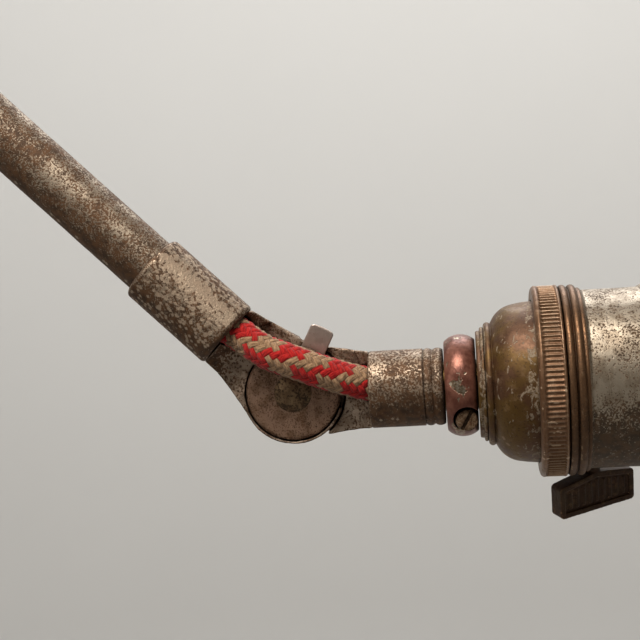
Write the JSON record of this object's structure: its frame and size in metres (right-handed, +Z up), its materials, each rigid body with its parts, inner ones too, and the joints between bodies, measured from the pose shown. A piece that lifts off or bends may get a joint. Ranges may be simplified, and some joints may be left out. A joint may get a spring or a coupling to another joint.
{
  "type": "jointed lamp arm",
  "caption": "Jointed wall lamp arm: wall plate, swivel post, steel tube arm between cast knuckles with woven flex, and a switched lampholder.",
  "frame": {"origin": "centre of the wall plate's screw circle, on its back face", "axes": "+X out of the wall along the swivel's axis, +Z up, flex on the -Y side"},
  "size_m": [0.2707, 0.076, 0.1963],
  "materials": {
    "worn_nickel": "worn nickel plate with brown rust speckle",
    "cast_ferrule": "pitted worn plate with brown patina",
    "cast_knuckle": "rough casting, worn bright on its ridges",
    "cover_steel": "fine pitted grey-brown steel",
    "bolt_steel": "dull olive-brown steel",
    "lever_steel": "clean satin steel",
    "fibre": "red vulcanised fibre",
    "woven_flex": "red and beige woven cotton braid",
    "plate_metal": "worn plated casting",
    "post_brass": "plain turned brass",
    "collar_paint": "worn red-brown paint over bright metal",
    "screw_steel": "tarnished slotted screw",
    "cap_brass": "dark brown tarnished brass",
    "ring_bronze": "bronze with bright worn edges",
    "shell_nickel": "worn nickel over brass with rust spots",
    "key_bronze": "dark tarnished bronze",
    "porcelain": "white glaze",
    "liner_card": "brown pressed card",
    "contact_brass": "plain contact brass",
    "core_rubber": "old black rubber"
  },
  "bodies": {
    "wall": {"wall_plate": "plate_metal"},
    "stem": {"swivel_post": "post_brass", "swivel_washer": "fibre", "swivel_nut": "bolt_steel", "wave_washer": "bolt_steel", "wall_cord": "woven_flex", "base_stem_half": "cast_knuckle", "base_stem_ferrule": "cast_ferrule", "base_pivot_nut": "bolt_steel", "base_spring_washer": "bolt_steel"},
    "base_lever": {"base_lock_lever": "lever_steel", "base_cover_disc": "cover_steel", "base_pivot_bolt": "bolt_steel"},
    "arm": {"arm_tube": "worn_nickel", "arm_cord": "woven_flex", "base_arm_half": "cast_knuckle", "head_arm_half": "cast_knuckle", "base_arm_ferrule": "cast_ferrule", "head_arm_ferrule": "cast_ferrule", "base_friction_washer": "fibre", "head_friction_washer": "fibre", "base_cord_loop": "woven_flex", "head_cord_loop": "woven_flex"},
    "head": {"head_stem_half": "cast_knuckle", "head_stem_ferrule": "cast_ferrule", "head_pivot_nut": "bolt_steel", "head_spring_washer": "bolt_steel", "nipple": "post_brass", "clamp_collar": "collar_paint", "collar_screw": "screw_steel", "holder_cap": "cap_brass", "cap_lock_nut": "bolt_steel", "union_ring": "ring_bronze", "holder_shell": "shell_nickel", "insulating_liner": "liner_card", "socket_body": "porcelain", "screw_shell": "contact_brass", "contact_spring": "contact_brass", "terminal_screws": "screw_steel", "lead_wires": "core_rubber", "head_cord": "woven_flex"},
    "head_lever": {"head_lock_lever": "lever_steel", "head_cover_disc": "cover_steel", "head_pivot_bolt": "bolt_steel"},
    "key": {"switch_key": "key_bronze", "switch_rotor": "fibre"},
    "contact": {"centre_contact": "contact_brass"}
  },
  "joints": [
    {"name": "arm_swivel", "type": "hinge", "parent": "wall", "child": "stem", "pos_m": [0.01, 0, 0], "axis": [1, 0, 0], "range_deg": [-90, 90]},
    {"name": "arm_tilt", "type": "hinge", "parent": "stem", "child": "arm", "pos_m": [0.048, 0, 0], "axis": [0, 1, 0], "range_deg": [-45, 25], "deforming": ["base_cord_loop"]},
    {"name": "head_tilt", "type": "hinge", "parent": "arm", "child": "head", "pos_m": [0.17669, 0, -0.12869], "axis": [0, 1, 0], "range_deg": [-25, 45], "deforming": ["head_cord_loop"]},
    {"name": "base_lever_turn", "type": "hinge", "parent": "stem", "child": "base_lever", "pos_m": [0.048, 0, 0], "axis": [0, 1, 0], "range_deg": [0, 18]},
    {"name": "head_lever_turn", "type": "hinge", "parent": "head", "child": "head_lever", "pos_m": [0.17669, 0, -0.12869], "axis": [0, 1, 0], "range_deg": [0, 18]},
    {"name": "key_turn", "type": "hinge", "parent": "head", "child": "key", "pos_m": [0.23899, 0, -0.12869], "axis": [0, 0.2334, -0.9724], "continuous": true},
    {"name": "contact_press", "type": "slide", "parent": "head", "child": "contact", "axis": [1, 0, 0], "range_m": [-0.0012, 0], "stiffness_N_per_m": 600, "springref_m": 0.0008, "deforming": ["contact_spring"]}
  ]
}
